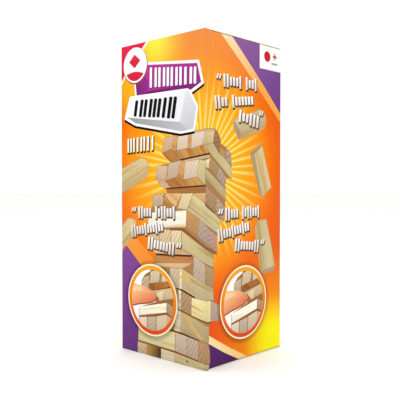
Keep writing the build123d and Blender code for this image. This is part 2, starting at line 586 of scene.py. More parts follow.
# The printed tower, from its loose top rows down: block faces by their corners. It leans out over its right
# side, so the ends of the top rows are seen from below.
TOWER_TOP = (
    ("side", SAND, (38.4, 104.4), (57.2, 106.0), (63.6, 107.8), (39.0, 106.3)),
    ("end", "dbb997", (29.8, 97.5), (36.2, 99.3), (38.4, 105.8), (31.0, 104.6)),
    ("side", GOLD, (36.2, 99.3), (38.9, 97.9), (40.3, 104.6), (38.4, 105.8)),
    ("under", RUST, (29.8, 97.5), (35.8, 93.0), (41.6, 94.2), (36.2, 99.3)),
    ("end", BLUSH, (39.4, 98.5), (46.6, 99.2), (47.0, 105.6), (40.4, 104.9)),
    ("side", GOLD, (46.6, 99.2), (48.5, 98.9), (49.1, 105.3), (47.0, 105.6)),
    ("under", AMBER, (39.2, 98.4), (41.8, 94.0), (50.8, 95.3), (46.8, 99.2)),
    ("end", BLUSH, (48.6, 98.8), (55.8, 100.4), (57.2, 106.6), (49.1, 105.6)),
    ("under", AMBER, (48.6, 98.8), (50.8, 95.3), (60.2, 96.6), (55.8, 100.4)),
    ("side", SAND, (55.8, 100.3), (62.4, 101.2), (63.7, 107.7), (57.2, 107.0)),
    ("side", BUFF, (55.9, 100.2), (75.2, 85.2), (75.6, 90.4), (62.4, 101.2)),
    ("end", "aa8460", (62.6, 101.0), (66.8, 96.6), (67.6, 103.0), (65.4, 106.6), (63.8, 107.6)),
    ("under", "c69f70", (66.8, 96.8), (71.0, 94.4), (70.6, 99.8), (67.4, 101.4)),
    ("end", TAUPE, (71.0, 94.4), (74.8, 90.8), (75.0, 96.6), (71.2, 100.2)),
    ("line", DARK, (41.8, 94.4), (60.2, 96.8), (60.2, 96.0), (41.8, 93.6)),
    ("side", TAN, (42.4, 92.4), (60.2, 94.6), (60.2, 96.0), (42.0, 93.6)),
    ("end", "dabf9f", (25.2, 86.0), (32.0, 84.8), (33.7, 91.6), (26.6, 91.8)),
    ("side", GOLD, (32.0, 84.8), (33.1, 84.3), (34.9, 91.2), (33.7, 91.6)),
    ("under", "d2b08e", (25.2, 86.0), (29.0, 81.8), (36.4, 80.4), (32.0, 84.8)),
    ("end", ROSE, (33.0, 84.8), (39.8, 86.4), (42.4, 93.9), (34.2, 92.7)),
    ("side", GOLD, (39.8, 86.4), (43.6, 84.9), (45.0, 93.2), (42.4, 93.9)),
    ("under", RUST, (32.0, 84.4), (37.2, 80.7), (47.2, 81.8), (39.8, 86.4)),
    ("end", "e4d0bb", (43.8, 85.0), (52.2, 86.2), (53.8, 93.9), (45.0, 93.3)),
    ("under", AMBER, (43.8, 84.9), (47.2, 81.6), (57.4, 82.4), (52.2, 86.2)),
    ("side", SAND, (52.2, 86.2), (57.4, 82.4), (57.5, 93.3), (53.8, 93.9)),
    ("side", "f5e3b8", (57.4, 90.4), (59.6, 89.8), (60.4, 94.6), (57.4, 93.4)),
    ("end", HAZEL, (59.7, 90.0), (65.0, 86.4), (66.4, 91.0), (60.3, 95.2)),
    ("end", TAUPE, (65.0, 86.2), (70.6, 80.8), (71.2, 86.2), (66.4, 91.0)),
    ("side", BUFF, (57.4, 85.6), (71.0, 75.4), (71.0, 80.6), (57.5, 90.0)),
    ("line", DARK, (32.8, 81.2), (57.6, 82.7), (57.6, 81.8), (32.8, 80.4)),
    ("side", "b07843", (33.0, 78.6), (57.6, 79.0), (57.6, 81.9), (32.8, 80.5)),
    ("end", HAZEL, (57.8, 74.6), (64.4, 70.4), (64.8, 77.6), (57.6, 82.0)),
    ("end", TAUPE, (64.4, 70.2), (69.6, 66.0), (70.8, 72.0), (64.8, 77.4)),
)
TOWER_MIDDLE = (
    ("end", "cfb698", (22.8, 72.0), (30.4, 73.4), (31.0, 78.8), (23.4, 77.8)),
    ("side", "e2b680", (31.2, 77.6), (38.8, 72.4), (43.2, 78.8), (33.0, 78.8)),
    ("under", AMBER, (31.0, 74.2), (37.4, 71.2), (38.9, 72.6), (30.2, 77.6)),
    ("side", "e2b680", (50.0, 77.0), (57.6, 74.0), (57.6, 79.1), (50.0, 78.9)),
    ("end", "ead7a8", (39.8, 71.8), (46.2, 71.4), (50.0, 78.9), (43.2, 78.7)),
    ("side", "d8cd9c", (46.4, 71.2), (66.0, 60.6), (67.6, 66.6), (57.8, 74.0), (50.0, 78.8)),
    ("line", DARK, (56.4, 75.2), (57.6, 73.2), (63.4, 69.6), (63.4, 70.2), (58.4, 73.4)),
    ("side", CREAM, (19.8, 62.0), (45.4, 63.4), (45.8, 71.2), (20.2, 69.2)),
    ("end", "cb9a62", (45.4, 63.4), (52.6, 59.8), (53.8, 67.6), (45.9, 71.3)),
    ("end", TAUPE, (52.6, 59.8), (59.0, 55.9), (60.0, 63.0), (53.8, 67.6)),
    ("end", "c2a191", (59.0, 55.8), (64.8, 52.4), (65.0, 59.6), (60.0, 63.0)),
    ("end", TAN, (21.0, 53.4), (28.0, 53.6), (28.0, 61.6), (21.0, 61.0)),
    ("end", "e2cfa6", (28.2, 53.6), (35.4, 53.6), (35.6, 61.6), (28.2, 61.6)),
    ("end", "e9d9b2", (35.6, 53.6), (42.2, 53.6), (42.6, 61.7), (35.8, 61.5)),
    ("side", SAND, (42.4, 53.6), (62.6, 45.8), (62.8, 51.2), (42.8, 61.6)),
    ("line", UMBER, (34.8, 62.4), (44.0, 62.9), (57.6, 55.4), (64.9, 52.2), (64.9, 51.2), (57.6, 54.4),
     (43.2, 61.7), (34.8, 61.5)),
    ("side", "e5bd8e", (33.8, 50.4), (48.8, 50.8), (42.4, 53.5), (21.0, 53.3), (24.8, 50.0)),
    ("side", "bf8853", (24.4, 45.2), (49.4, 47.4), (49.8, 50.2), (25.0, 49.2)),
    ("side", "e0bc8e", (24.4, 43.8), (43.0, 44.2), (49.4, 47.3), (24.4, 45.3)),
    ("line", DARK, (25.4, 49.8), (49.4, 51.0), (48.8, 50.1), (25.4, 49.0)),
    ("end", ROSE, (50.0, 41.4), (57.2, 38.4), (57.4, 47.5), (50.2, 50.8)),
    ("end", HAZEL, (57.2, 38.4), (62.6, 36.4), (63.2, 44.8), (57.4, 47.4)),
)
TOWER_BASE = (
    ("end", "d2c0a0", (34.8, 34.8), (41.0, 34.6), (41.2, 44.0), (35.0, 44.2)),
    ("side", "efe3c4", (41.0, 34.6), (43.0, 34.2), (43.2, 44.1), (41.2, 44.1)),
    ("side", "cfbe92", (43.0, 34.2), (50.6, 31.8), (62.8, 31.0), (62.8, 36.2), (50.0, 41.4), (43.2, 44.2)),
    ("line", "d9b66c", (43.3, 43.6), (43.3, 40.2), (45.4, 38.4), (48.4, 38.8), (47.2, 41.6), (45.2, 43.2)),
    ("side", "efe6c8", (40.4, 25.3), (42.2, 25.2), (42.3, 34.1), (40.6, 34.4)),
    ("end", "bb9a72", (42.3, 25.2), (48.8, 23.6), (49.0, 32.0), (42.4, 34.0)),
    ("side", "efe0a4", (48.8, 23.4), (60.8, 21.6), (61.0, 31.0), (49.0, 31.8)),
    ("line", "d8ab58", (49.0, 27.4), (57.8, 25.6), (49.0, 28.6)),
    ("line", "dfc27c", (48.9, 25.0), (58.6, 23.0), (48.9, 25.7)),
    ("end", TAUPE, (60.9, 21.8), (66.4, 21.2), (66.5, 28.2), (61.1, 31.0)),
    ("line", DARK, (39.2, 35.1), (43.2, 34.7), (51.2, 32.2), (50.8, 31.4), (43.2, 33.9), (39.2, 34.5)),
    ("side", "e6dcc0", (37.6, 15.0), (42.0, 14.6), (42.2, 25.0), (39.6, 25.2)),
    ("side", "c2ad80", (42.0, 14.6), (53.4, 12.9), (59.6, 12.4), (59.8, 19.6), (48.6, 23.2), (42.2, 25.1)),
    ("line", "d3b067", (43.6, 24.4), (47.0, 23.2), (50.4, 18.6), (56.6, 13.6), (54.0, 13.6), (48.0, 18.4),
     (45.6, 22.0)),
    ("line", UMBER, (39.4, 25.6), (48.4, 23.7), (61.0, 21.4), (61.0, 20.6), (48.2, 22.9), (39.4, 25.0)),
    ("side", STRAW, (12.6, 6.0), (38.2, 5.1), (38.4, 14.3), (12.8, 13.6)),
    ("end", ROSE, (38.4, 4.9), (45.6, 4.2), (45.8, 13.5), (38.6, 14.3)),
    ("end", "c6b19b", (45.7, 4.2), (52.9, 3.5), (53.3, 12.7), (45.9, 13.5)),
    ("end", HAZEL, (53.0, 3.5), (60.5, 3.0), (60.2, 9.0), (58.6, 12.4), (53.4, 12.6)),
    ("line", DARK, (35.2, 15.2), (44.2, 14.6), (53.8, 13.1), (53.6, 12.5), (44.2, 13.8), (35.2, 14.4)),
    ("end", "cfba9c", (12.2, -1), (18.6, -1), (18.6, 5.2), (12.2, 5.5)),
    ("side", "dccdaa", (28.8, -1), (38.0, -1), (38.1, 4.5), (28.8, 4.9)),
    ("side", "cbbc90", (38.1, -1), (59.6, -1), (59.8, 2.6), (38.1, 4.5)),
    ("line", UMBER, (12.4, 6.3), (38.2, 5.5), (53.2, 3.9), (53.2, 3.3), (38.2, 4.6), (12.4, 5.5)),
)

TOWER_OUTLINE = (
    (12.4, -1), (12.4, 5.8), (12.8, 13.4), (34, 14), (34, 40), (24.6, 44), (25.0, 49.4), (21.2, 53.6),
    (20.2, 68.8), (23.2, 72.2), (23.6, 77.6), (32.9, 78.8), (32.8, 80.4), (29.4, 81.9), (25.6, 86.0),
    (26.8, 91.6), (36.0, 93.0), (30.2, 97.6), (31.2, 104.4), (38.8, 106.0), (63.4, 107.5), (67.2, 103.0),
    (67.4, 101.2), (71.2, 99.9), (74.8, 96.4), (75.4, 90.4), (75.0, 85.4), (71.0, 85.8), (70.8, 75.6),
    (70.6, 72.0), (67.4, 66.6), (65.8, 60.8), (64.8, 59.4), (64.6, 52.6), (62.6, 51.0), (62.8, 31.2),
    (66.2, 28.2), (66.2, 21.4), (60.8, 21.6), (59.6, 19.4), (59.4, 12.6), (60.2, 9.0), (60.3, 3.2),
    (59.6, 2.6), (59.4, -1),
)


def tower():
    """The leaning tower, with the dark gap left by a block pushed out of its lowest row."""
    gap_ink = fade("b98c50", "43290e", (19.5, 2), (27.5, 2))
    gap = Shape([(18.5, -1), (28.8, -1), (28.8, 5.0), (18.5, 5.3)], gap_ink)
    knot = Shape(circle((46.1, 2.0), 0.75, 18, 0.6), "6b4526")
    behind = Shape(list(TOWER_OUTLINE), "a97f50")
    return [behind] + faces(TOWER_TOP) + faces(TOWER_MIDDLE) + faces(TOWER_BASE) + [gap, knot]


LOOSE_TOP, LOOSE_SIDE, LOOSE_END, LOOSE_SEAM = "d6c594", "c2ab7c", "b89d7e", "a88f66"
FRONT_LOOSE = (
    ("side", LOOSE_TOP, (-2, 80.3), (20.6, 90.2), (19.0, 94.6), (14.6, 95.9), (-2, 89.8)),
    ("side", LOOSE_SIDE, (-2, 77.2), (18.8, 86.2), (20.6, 90.2), (-2, 80.3)),
    ("side", LOOSE_TOP, (-2, 51.2), (11.2, 63.2), (10.4, 65.4), (5.2, 66.4), (-2, 60.2)),
    ("side", LOOSE_SIDE, (-2, 47.6), (10.8, 59.6), (11.2, 63.2), (-2, 51.2)),
)
SIDE_LOOSE = (
    ("side", LOOSE_TOP, (24.0, 107.0), (43.8, 114.0), (42.6, 117.4), (38.6, 119.4), (19.0, 112.6)),
    ("side", LOOSE_SIDE, (22.8, 103.7), (42.8, 110.4), (43.8, 114.0), (24.0, 107.0)),
    ("end", LOOSE_END, (22.8, 103.7), (24.0, 107.0), (19.0, 112.6), (18.4, 109.2)),
    ("side", LOOSE_TOP, (40.6, 76.6), (34.3, 97.6), (40.4, 101.6), (48.0, 81.4)),
    ("side", LOOSE_SIDE, (38.4, 78.2), (31.0, 97.4), (34.3, 97.6), (40.6, 76.6)),
    ("end", LOOSE_END, (31.0, 97.4), (34.3, 97.6), (40.4, 101.6), (38.0, 102.0)),
    ("side", LOOSE_TOP, (42.0, 40.8), (36.6, 65.2), (44.0, 65.8), (51.4, 42.0)),
    ("side", LOOSE_SIDE, (39.6, 38.9), (34.6, 61.5), (36.6, 65.2), (42.0, 40.8)),
    ("end", LOOSE_END, (39.6, 38.9), (50.2, 39.6), (51.4, 42.0), (42.0, 40.8)),
)


def along_side(rows):
    """The same faces, placed on the side wall's part of the artwork."""
    return [(kind, code, *moved(corners, SIDE_START, 0)) for kind, code, *corners in rows]


def bar(centre, width, height, turn):
    """A bar with rounded corners, turned about its centre."""
    c, s = math.cos(turn), math.sin(turn)
    corners = ((-width, -height), (width, -height), (width, height), (-width, height))
    points = [(centre[0] + (x * c - y * s) / 2, centre[1] + (x * s + y * c) / 2) for x, y in corners]
    return rounded(points, min(width, height) * 0.3, 3)


SHORT = 4.0
TALL_WIDTH, SHORT_WIDTH = 0.6, 0.7  # shares of the room that a stroke has
STROKES = {"T": 6.0, "s": SHORT, " ": -1.1}  # the slogans' tall and short strokes, and spaces


def strokes(start, end, pattern, ink, shadow, drop=(0.4, -0.6), slant=0.0, edge=0.3):
    """A row of plain upright strokes in place of lettering. The pattern gives each stroke's height, and a
    negative number leaves that much space."""
    total = sum(-step if step < 0 else 1.0 for step in pattern)
    along = (Vector(end) - Vector(start)) / total
    turn = math.atan2(along.y, along.x) + slant
    shades, tops = [], []
    place = 0.0
    for step in pattern:
        if step < 0:
            place -= step
            continue
        middle = Vector(start) + along * (place + 0.5)
        width = along.length * (TALL_WIDTH if step > SHORT else SHORT_WIDTH)
        outline = bar(middle, width, step, turn)
        shades.append(Shape(moved(grown(outline, edge), *drop), shadow))
        tops.append(Shape(outline, ink))
        place += 1.0
    return shades + tops


WORD_SHADOW = "5f4433"
LINES = (
    ((0.0, 0.0), (26.0, 0.6), "TTsss TsTTssT"),
    ((-5.0, -9.6), (18.0, -6.2), "TTsssTsssTss"),
    ((7.0, -14.4), (25.6, -16.4), "TTsssssTT"),
)
UPPER_LINES = (
    ((0.0, 0.0), (25.2, 0.6), "TTsssT TssT"),
    ((-6.0, -10.6), (22.6, -7.0), "TTss Tssssss"),
    ((11.0, -15.0), (27.0, -17.2), "TssTTT"),
)


def quote(u, v):
    """Two short slanted strokes."""
    made = []
    for step in (0.0, 1.7):
        stroke = bar((u + step, v), 1.0, 2.4, -0.45)
        made.append(Shape(moved(grown(stroke, 0.3), 0.35, -0.5), WORD_SHADOW))
        made.append(Shape(stroke, "f7efe2"))
    return made


def slogan(lines, origin, close):
    """Three lines of strokes between quotes, shaded from white to stone."""
    u, v = origin
    made = []
    for (u0, v0), (u1, v1), marks in lines:
        pattern = [STROKES[mark] for mark in marks]
        middle = v + (v0 + v1) / 2
        ink = fade("ffffff", "d9cdbc", (u, middle + 3), (u, middle - 3.4))
        made += strokes((u + u0, v + v0), (u + u1, v + v1), pattern, ink, WORD_SHADOW)
    return made + quote(u - 3.6, v + 1.4) + quote(u + close[0], v + close[1])


UPPER_WORD = (9.6, -0.3, 9.2, 9.2, -0.2, 8.8, 8.8, 8.8, -0.2, 8.4, 8.4, -0.2, 8.0, -0.3, 7.6, 7.6)
LOWER_WORD = (7.6, -0.3, 8.2, 8.2, -0.2, 8.6, 8.6, 8.6, -0.2, 9.2, -0.2, 9.8, 9.8)
SMALL_WORD = (7.0, 7.0, 7.0, -0.3, 7.0, -0.3, 7.0, 7.0, -0.3, 7.0, -0.5, 7.0)
LID_WORD = (8.4, -0.3, 8.4, 8.4, -0.2, 8.4, 8.4, 8.4, -0.2, 8.4, 8.4, -0.3, 8.4)


def title_slabs():
    """Two slanted slabs with white rims and drawn shadows, carrying plain strokes in place of a name."""
    upper_rim = [(9.8, 133.2), (11.0, 124.4), (48.9, 123.9), (56.6, 127.3), (53.6, 138.1), (19.0, 141.6)]
    lower_rim = [(2.6, 115.4), (10.6, 111.7), (42.0, 106.0), (51.0, 106.7), (53.1, 117.6), (48.4, 125.0),
                 (46.8, 126.2), (6.8, 126.4)]
    upper_face = [(11.0, 132.6), (12.0, 125.2), (48.2, 125.2), (54.9, 128.1), (52.5, 136.8), (19.0, 140.4)]
    face = [(4.7, 116.2), (41.4, 111.4), (45.6, 125.3), (8.0, 125.5)]
    facet = [(41.4, 111.4), (46.7, 107.4), (50.0, 107.7), (51.9, 117.4), (47.2, 125.0), (45.6, 125.3)]
    under = [(4.7, 116.2), (11.0, 112.9), (42.6, 107.0), (46.7, 107.4), (41.4, 111.4)]
    made = [
        Shape(moved(rounded(upper_rim, 0.8), 0.35, -1.05), "2a0b10"),
        Shape(rounded(upper_rim, 0.8), "fffdf8"),
        Shape(upper_face, fade("b73c9a", "9c2f8c", (30, 141), (34, 124))),
        Shape([(11.0, 132.6), (12.0, 125.2), (19.8, 125.2), (20.2, 132.8), (16.5, 136.5)],
              fade("7c2370", "9d3190", (11, 128), (21, 131))),
        Shape([(12.0, 125.2), (48.2, 125.2), (54.9, 128.1), (20.1, 127.4)],
              fade("6d1d62", "8a2a7a", (20, 125), (54, 129))),
    ]
    made += strokes((20.8, 134.0), (52.4, 131.5), UPPER_WORD, "ffffff", "7d2670", (0.3, -0.3), 0.06, 0.22)
    made += [
        Shape(moved(rounded(lower_rim, 0.8), -0.15, -1.15), "1d0a08"),
        Shape(rounded(lower_rim, 0.8), "ffffff"),
        Shape(face, fade("ffffff", "f1f1f3", (10, 126), (30, 110))),
        Shape(facet, fade("e6e6e8", "cbcbce", (43, 124), (50, 108))),
        Shape(under, fade("9c9ca0", "c2c2c5", (5, 116), (46, 108))),
    ]
    return made + strokes((9.8, 120.2), (39.4, 118.2), LOWER_WORD, "17161a", "17161a", (0, 0), -0.12, 0.2)


def small_word():
    """Leaning strokes in place of the small word under the slabs."""
    ink = fade("ffffff", "f4efc8", (5, 106), (5, 98))
    return strokes((4.4, 102.0), (24.2, 102.8), SMALL_WORD, ink, "4d3010", (0.4, -0.6), -0.06, 0.35)


def corner_badge():
    """A crimson corner with a cream edge, and a white disc with a red lozenge over a red hill."""
    centre, radius = (10.7, 141.3), 8.6
    made = [
        Shape([(-2, 129.4), (5.4, 138.5), (14.5, 146.0), (20.6, 151.0), (24.0, 156), (-2, 156)], "fff3dc"),
        Shape([(-2, 130.9), (4.4, 139.4), (13.6, 147.0), (18.8, 151.5), (22.2, 156), (-2, 156)],
              fade("e8274a", "c21f3b", (2, 150), (1, 132))),
        Shape(moved(circle(centre, radius + 0.3), 0.25, -0.45), "a3443a"),
        Shape(circle(centre, radius), "fffefd"),
    ]
    window = circle(centre, radius - 0.9)
    hill = [(0, 128), (0, 134.6), (4, 137.0), (8, 138.0), (12, 138.0), (16, 137.0), (22, 134.6), (22, 128)]
    lozenge = [(6.2, 143.2), (10.4, 139.8), (14.6, 143.2), (10.4, 146.6)]
    return made + [
        Shape(clipped(smooth(hill, 4), window), fade("e02b45", "c91f38", (10, 138), (10, 132))),
        Shape(lozenge, fade("e2334c", "cf2139", (10, 146), (10, 140))),
    ]


def lower_purple():
    """Front, lower left: purple below a slanting light-orange band."""
    return [
        Shape([(2.4, 53.2), (8.0, 58.6), (12.0, 56.4), (23.6, 47.2), (24.0, 40), (14, 40)],
              fade("f59d40", "f48c26", (5, 57), (22, 44))),
        Shape([(-2, 47.0), (4.2, 52.2), (14.6, 43.6), (19, 38), (19, -4), (-2, -4)],
              fade("834693", "66327a", (4, 50), (12, 0))),
    ]


def side_corners(start):
    """Right side: purple top corner and dark lower corner, each behind a cream band, and a white label with a
    dot, a plus and a line in place of its text."""
    def here(points):
        return moved(points, start, 0)

    top_band = [(5.0, 155.2), (9.4, 151.0), (23.5, 140.3), (36.0, 130.2), (48.0, 120.2), (58.0, 112.0),
                (58, 156)]
    top_corner = [(12.6, 155.0), (17.0, 151.2), (30.4, 140.3), (42.4, 130.3), (53.0, 120.7), (58.0, 116.0),
                  (58, 156)]
    return [
        Shape(here(top_band), fade("fde6b4", "f8a84c", (start + 10, 150), (start + 38, 128))),
        Shape(here(top_corner), fade("8f5f9d", "71408a", (start + 24, 152), (start + 56, 124))),
        Shape(here([(38.3, 139.2), (58, 139.2), (58, 156), (38.3, 156)]), "fdfdfc"),
        Shape(here([(-2, 17.0), (2.0, 15.4), (16.0, 7.4), (33.0, -1.2), (38, -4), (-2, -4)]),
              fade("fbe0a6", "fbcf7f", (start + 2, 14), (start + 28, 0))),
        Shape(here([(-2, 13.6), (2.2, 11.6), (12.0, 6.0), (26.0, -0.9), (32, -4), (-2, -4)]),
              fade("56256a", "481c58", (start + 3, 10), (start + 20, 0))),
        Shape(circle((start + 44.4, 145.6), 2.6, 40), "cf2434"),
        Shape(bar((start + 50.6, 146.2), 3.4, 0.9, 0.0), "cf2434"),
        Shape(bar((start + 50.6, 146.2), 0.9, 3.4, 0.0), "cf2434"),
        Shape(bar((start + 50.3, 142.6), 5.0, 1.0, 0.0), "a9a9a6"),
    ]


def end_panel_art():
    """The lids: a purple corner behind a cream band on each, a small slab with strokes on the top one and a
    white label with grey lines on the bottom one."""
    made = [
        Shape([(-2, 196), (-2, 190), (34, 216), (30, 216)], fade("fde1a6", "f9a84e", (0, 190), (34, 214))),
        Shape([(-2, 196), (30, 216), (-2, 216)], fade("87539a", "6b3a80", (0, 196), (20, 212))),
        Shape([(60, -58), (60, -34), (36, -60), (38, -62)], fade("fde1a6", "f9a84e", (60, -34), (36, -60))),
        Shape([(60, -62), (60, -38), (40, -62)], fade("87539a", "6b3a80", (60, -38), (44, -60))),
        Shape(rounded(rectangle(12, -38, 40, -20), 1.0), "fbfbf9"),
    ]
    for v, end in ((-33, 37), (-30, 37), (-27, 31)):
        made.append(Shape(rounded(rectangle(15, v, end, v + 0.8), 0.3), "b9b9b6"))
    rim = rounded([(11.0, 171.5), (47.5, 169.0), (48.5, 184.0), (12.0, 187.5)], 0.8)
    made += [
        Shape(moved(rim, 0.2, 0.9), "2a0b10"),
        Shape(rim, "fffdf8"),
        Shape([(12.2, 172.6), (46.5, 170.3), (47.3, 183.0), (13.1, 186.2)],
              fade("b73c9a", "8e2b80", (30, 186), (30, 170))),
    ]
    return made + strokes((15.0, 179.8), (45.0, 177.2), LID_WORD, "ffffff", "7d2670", (0.3, -0.3), 0.06, 0.22)


INSETS = ((22.6, 27.2), (84.5, 27.2))
INSET_RADIUS = 17.4
INSET_RIM = 2.7
SHADE_REACH = 2.6  # the drawn shadow's reach beyond an inset
SHADE_DEPTH = 0.55

# The blocks in a round inset, from its centre.
INSET_OUTLINE = [(-7.6, 6.2), (-7.2, 9.6), (-4.6, 12.2), (-1.6, 13.6), (-0.6, 15), (20, 15), (20, -18),
                 (-9.6, -18), (-9.5, -4.6), (2.6, -0.6), (2.4, 3.6), (-6, 5.8)]
INSET_BLOCKS = (
    ("end", "cdb698", (-7.4, 6.0), (-2.5, 5.4), (-1.9, 11.8), (-6.8, 10.2)),
    ("end", "d9c8aa", (-2.0, 7.8), (4.8, 9.2), (6.0, 15.4), (-0.8, 13.8)),
    ("side", "bb8b50", (4.8, 9.2), (6.5, 8.6), (7.2, 15.0), (6.0, 15.4)),
    ("end", "e8d9c2", (6.6, 9.4), (14.4, 10.8), (14.4, 15.2), (7.2, 14.4)),
    ("under", "a96c33", (-2.2, 7.7), (1.0, 5.1), (10.0, 7.2), (4.8, 9.2)),
    ("under", "bd8446", (6.6, 9.4), (10.0, 7.4), (15.4, 9.0), (14.4, 10.8)),
    ("line", DARK, (-2.2, 7.6), (1.0, 4.9), (10.0, 7.0), (15.4, 8.8), (15.4, 8.3), (10.0, 6.4), (1.0, 4.3)),
    ("side", "d3b083", (-1.6, 4.2), (15.0, 7.8), (15.2, 6.2), (1.4, 3.0)),
    ("end", "e4d3ac", (2.8, -0.2), (7.8, 1.0), (8.4, 5.8), (3.2, 4.0)),
    ("end", "d5c09a", (8.0, 1.0), (15.0, 2.6), (15.4, 7.4), (8.4, 5.8)),
    ("line", "a8662c", (1.2, 0.4), (5.2, -0.2), (4.8, 1.6), (2.4, 3.0)),
    ("side", CREAM, (-9.4, -8.8), (10.0, -4.6), (10.2, 0.0), (-9.2, -4.4)),
    ("end", "bd9f7b", (10.3, -4.6), (14.0, -6.4), (14.6, -1.6), (10.4, 0.0)),
    ("end", "e6dac6", (-9.4, -14.8), (-3.8, -14.8), (-3.6, -8.2), (-9.2, -9.4)),
    ("end", "c9b69f", (-3.4, -14.8), (2.6, -14.8), (2.8, -7.2), (-3.2, -8.2)),
    ("end", "dac9aa", (3.0, -14.8), (10.4, -14.0), (10.2, -5.6), (3.2, -7.0)),
    ("side", "ccb48f", (10.4, -14.2), (14.2, -11.2), (14.0, -7.0), (10.2, -5.8)),
    ("line", UMBER, (-9.4, -9.0), (2.4, -6.9), (10.2, -4.8), (14.2, -6.6), (14.0, -7.2), (10.0, -5.7),
     (2.4, -7.6), (-9.4, -9.6)),
)


def inset(centre):
    """A round picture: a generic fingertip pushing a block out of the tower."""
    u, v = centre
    window = circle(centre, INSET_RADIUS - INSET_RIM)

    def here(points):
        return clipped(moved(points, u, v), window)

    made = [
        Shape(circle(centre, INSET_RADIUS), "ffefcf"),
        Shape(circle(centre, INSET_RADIUS - 0.8), fade("f3a51a", "de450c", (0, v + 15), (0, v - 15))),
        Shape(window, "fffefc"),
        Shape(here(INSET_OUTLINE), "9a6a38"),
    ]
    for kind, code, *corners in INSET_BLOCKS:
        if kind == "line":
            made.append(Shape(here(corners), code))
            continue
        drawn = wood(kind, code, *moved(corners, u, v))
        drawn.points = clipped(drawn.points, window)
        made.append(drawn)
    finger = smooth([(-18, -3.9), (-9, -2.6), (-4.4, -1.8), (-0.6, -0.8), (2.2, 0.6), (3.0, 2.0), (1.6, 3.6),
                     (-2.6, 5.4), (-8.6, 6.4), (-18, 6.0)], 6)
    shine = smooth([(-18, 2.6), (-9, 3.4), (-3, 3.0), (-1.0, 3.4), (-4, 4.6), (-9, 5.4), (-18, 5.2)], 4)
    return made + [
        Shape(here(moved(grown(finger, 0.25), 0.25, -0.4)), "9c5530"),
        Shape(here(finger), fade("fbc58c", "dd6a42", (u - 8, v + 7), (u - 3, v - 3))),
        Shape(here(shine), fade("fdd3a0", "f6a871", (u - 8, v + 5), (u - 6, v + 3))),
    ]


def drawn_shade(u, v):
    """Soft drawn shadow round each inset, darkest at its rim."""
    for centre in INSETS:
        away = math.hypot(u - centre[0], v - centre[1] + 0.4) - INSET_RADIUS
        if away < SHADE_REACH:
            return SHADE_DEPTH * (1 - max(away, 0) / SHADE_REACH)
    return 0.0


def inside_inset(u, v):
    return any(math.hypot(u - centre[0], v - centre[1]) < INSET_RADIUS for centre in INSETS)


def artwork():
    """The artwork of a pair of walls and of the lids, lowest shape first. The sunburst is whatever no shape
    covers."""
    made = lower_purple() + side_corners(SIDE_START) + end_panel_art()
    made += faces(FRONT_LOOSE, LOOSE_SEAM) + faces(along_side(SIDE_LOOSE), LOOSE_SEAM)
    made += tower() + title_slabs() + corner_badge() + small_word()
    for centre in INSETS:
        made += inset(centre)
    made += slogan(LINES, (12.4, 69.2), (27.6, -14.4))
    made += slogan(UPPER_LINES, (SIDE_START + 11.0, 130.0), (27.8, -12.6))
    made += slogan(LINES, (SIDE_START + 12.4, 69.2), (27.6, -14.4))
    return made


# The card's mesh is cut along these, to draw the soft shadow.
SHADE_RINGS = [circle(centre, INSET_RADIUS + step) for centre in INSETS for step in (0.9, 1.8, 2.7)]


# ---- Card: printed outside, bare board inside, one closed mesh for each panel ----

EPSILON = 1e-5  # points nearer than this are joined
SLIVER = 1e-4  # square millimetres; a smaller shape isn't drawn


def planar_map(outline, shapes, lines):
    """Cuts an outline into triangles along every shape and line. Gives the points, and triangles with their
    topmost shape's number, or -1 where there is only the ground."""
    points, edges, loops = [], [], []
    for loop in [outline] + [s.points for s in shapes]:
        loop = list(loop) if area(list(loop)) > 0 else list(reversed(loop))
        loops.append(list(range(len(points), len(points) + len(loop))))
        points += [Vector(p) for p in loop]
    for line in lines:
        start = len(points)
        points += [Vector(p) for p in line]
        edges += [(start + i, start + i + 1) for i in range(len(line) - 1)]
    out_points, _, triangles, _, _, owners = delaunay_2d_cdt(points, edges, loops, 1, EPSILON, True)
    kept = [(tri, max(owner) - 1) for tri, owner in zip(triangles, owners) if 0 in owner]
    return out_points, kept


def boundary_loop(triangles):
    """The outer edge of the triangles, as a ring of point numbers."""
    seen = {}
    for tri, _ in triangles:
        for i in range(3):
            a, b = tri[i], tri[(i + 1) % 3]
            if (b, a) in seen:
                del seen[(b, a)]
            else:
                seen[(a, b)] = True
    after = dict(seen.keys())
    start = next(iter(after))
    ring = [start]
    while after[ring[-1]] != start:
        ring.append(after[ring[-1]])
    return ring


def bounds_of(points):
    us, vs = [p[0] for p in points], [p[1] for p in points]
    return min(us), min(vs), max(us), max(vs)


def nearest(point):
    """A point to the nearest micrometre, to match it with the one on the other skin."""
    return round(point[0], 3), round(point[1], 3)


def overlaps(a, b):
    return a[0] < b[2] and b[0] < a[2] and a[1] < b[3] and b[1] < a[3]


class Print:
    """Where a panel's own u and v lie on the artwork; flip is -1 where v runs the other way."""

    def __init__(self, u=0.0, v=0.0, flip=1):
        self.u, self.v, self.flip = u, v, flip

    def art(self, u, v):
        return u + self.u, self.v + self.flip * v

    def panel(self, points):
        return [(u - self.u, (v - self.v) * self.flip) for u, v in points]


def shapes_on(window, shapes, layout):
    """The shapes that a panel shows, in its own u and v, cut a millimetre outside its bounds."""
    u0, v0, u1, v1 = window
    margin = rectangle(u0 - 1, v0 - 1, u1 + 1, v1 + 1)
    kept = []
    for shape in shapes:
        loop = layout.panel(shape.points)
        if len(loop) > 2 and overlaps(bounds_of(loop), window):
            loop = clipped(loop, margin)
            if len(loop) > 2 and abs(area(loop)) > SLIVER:
                kept.append(Shape(loop, shape.ink, shape.material, shape.frame, shape.seed))
    return kept


def add(name, data):
    """A new object in the scene."""
    made = bpy.data.objects.new(name, data)
    bpy.context.scene.collection.objects.link(made)
    return made


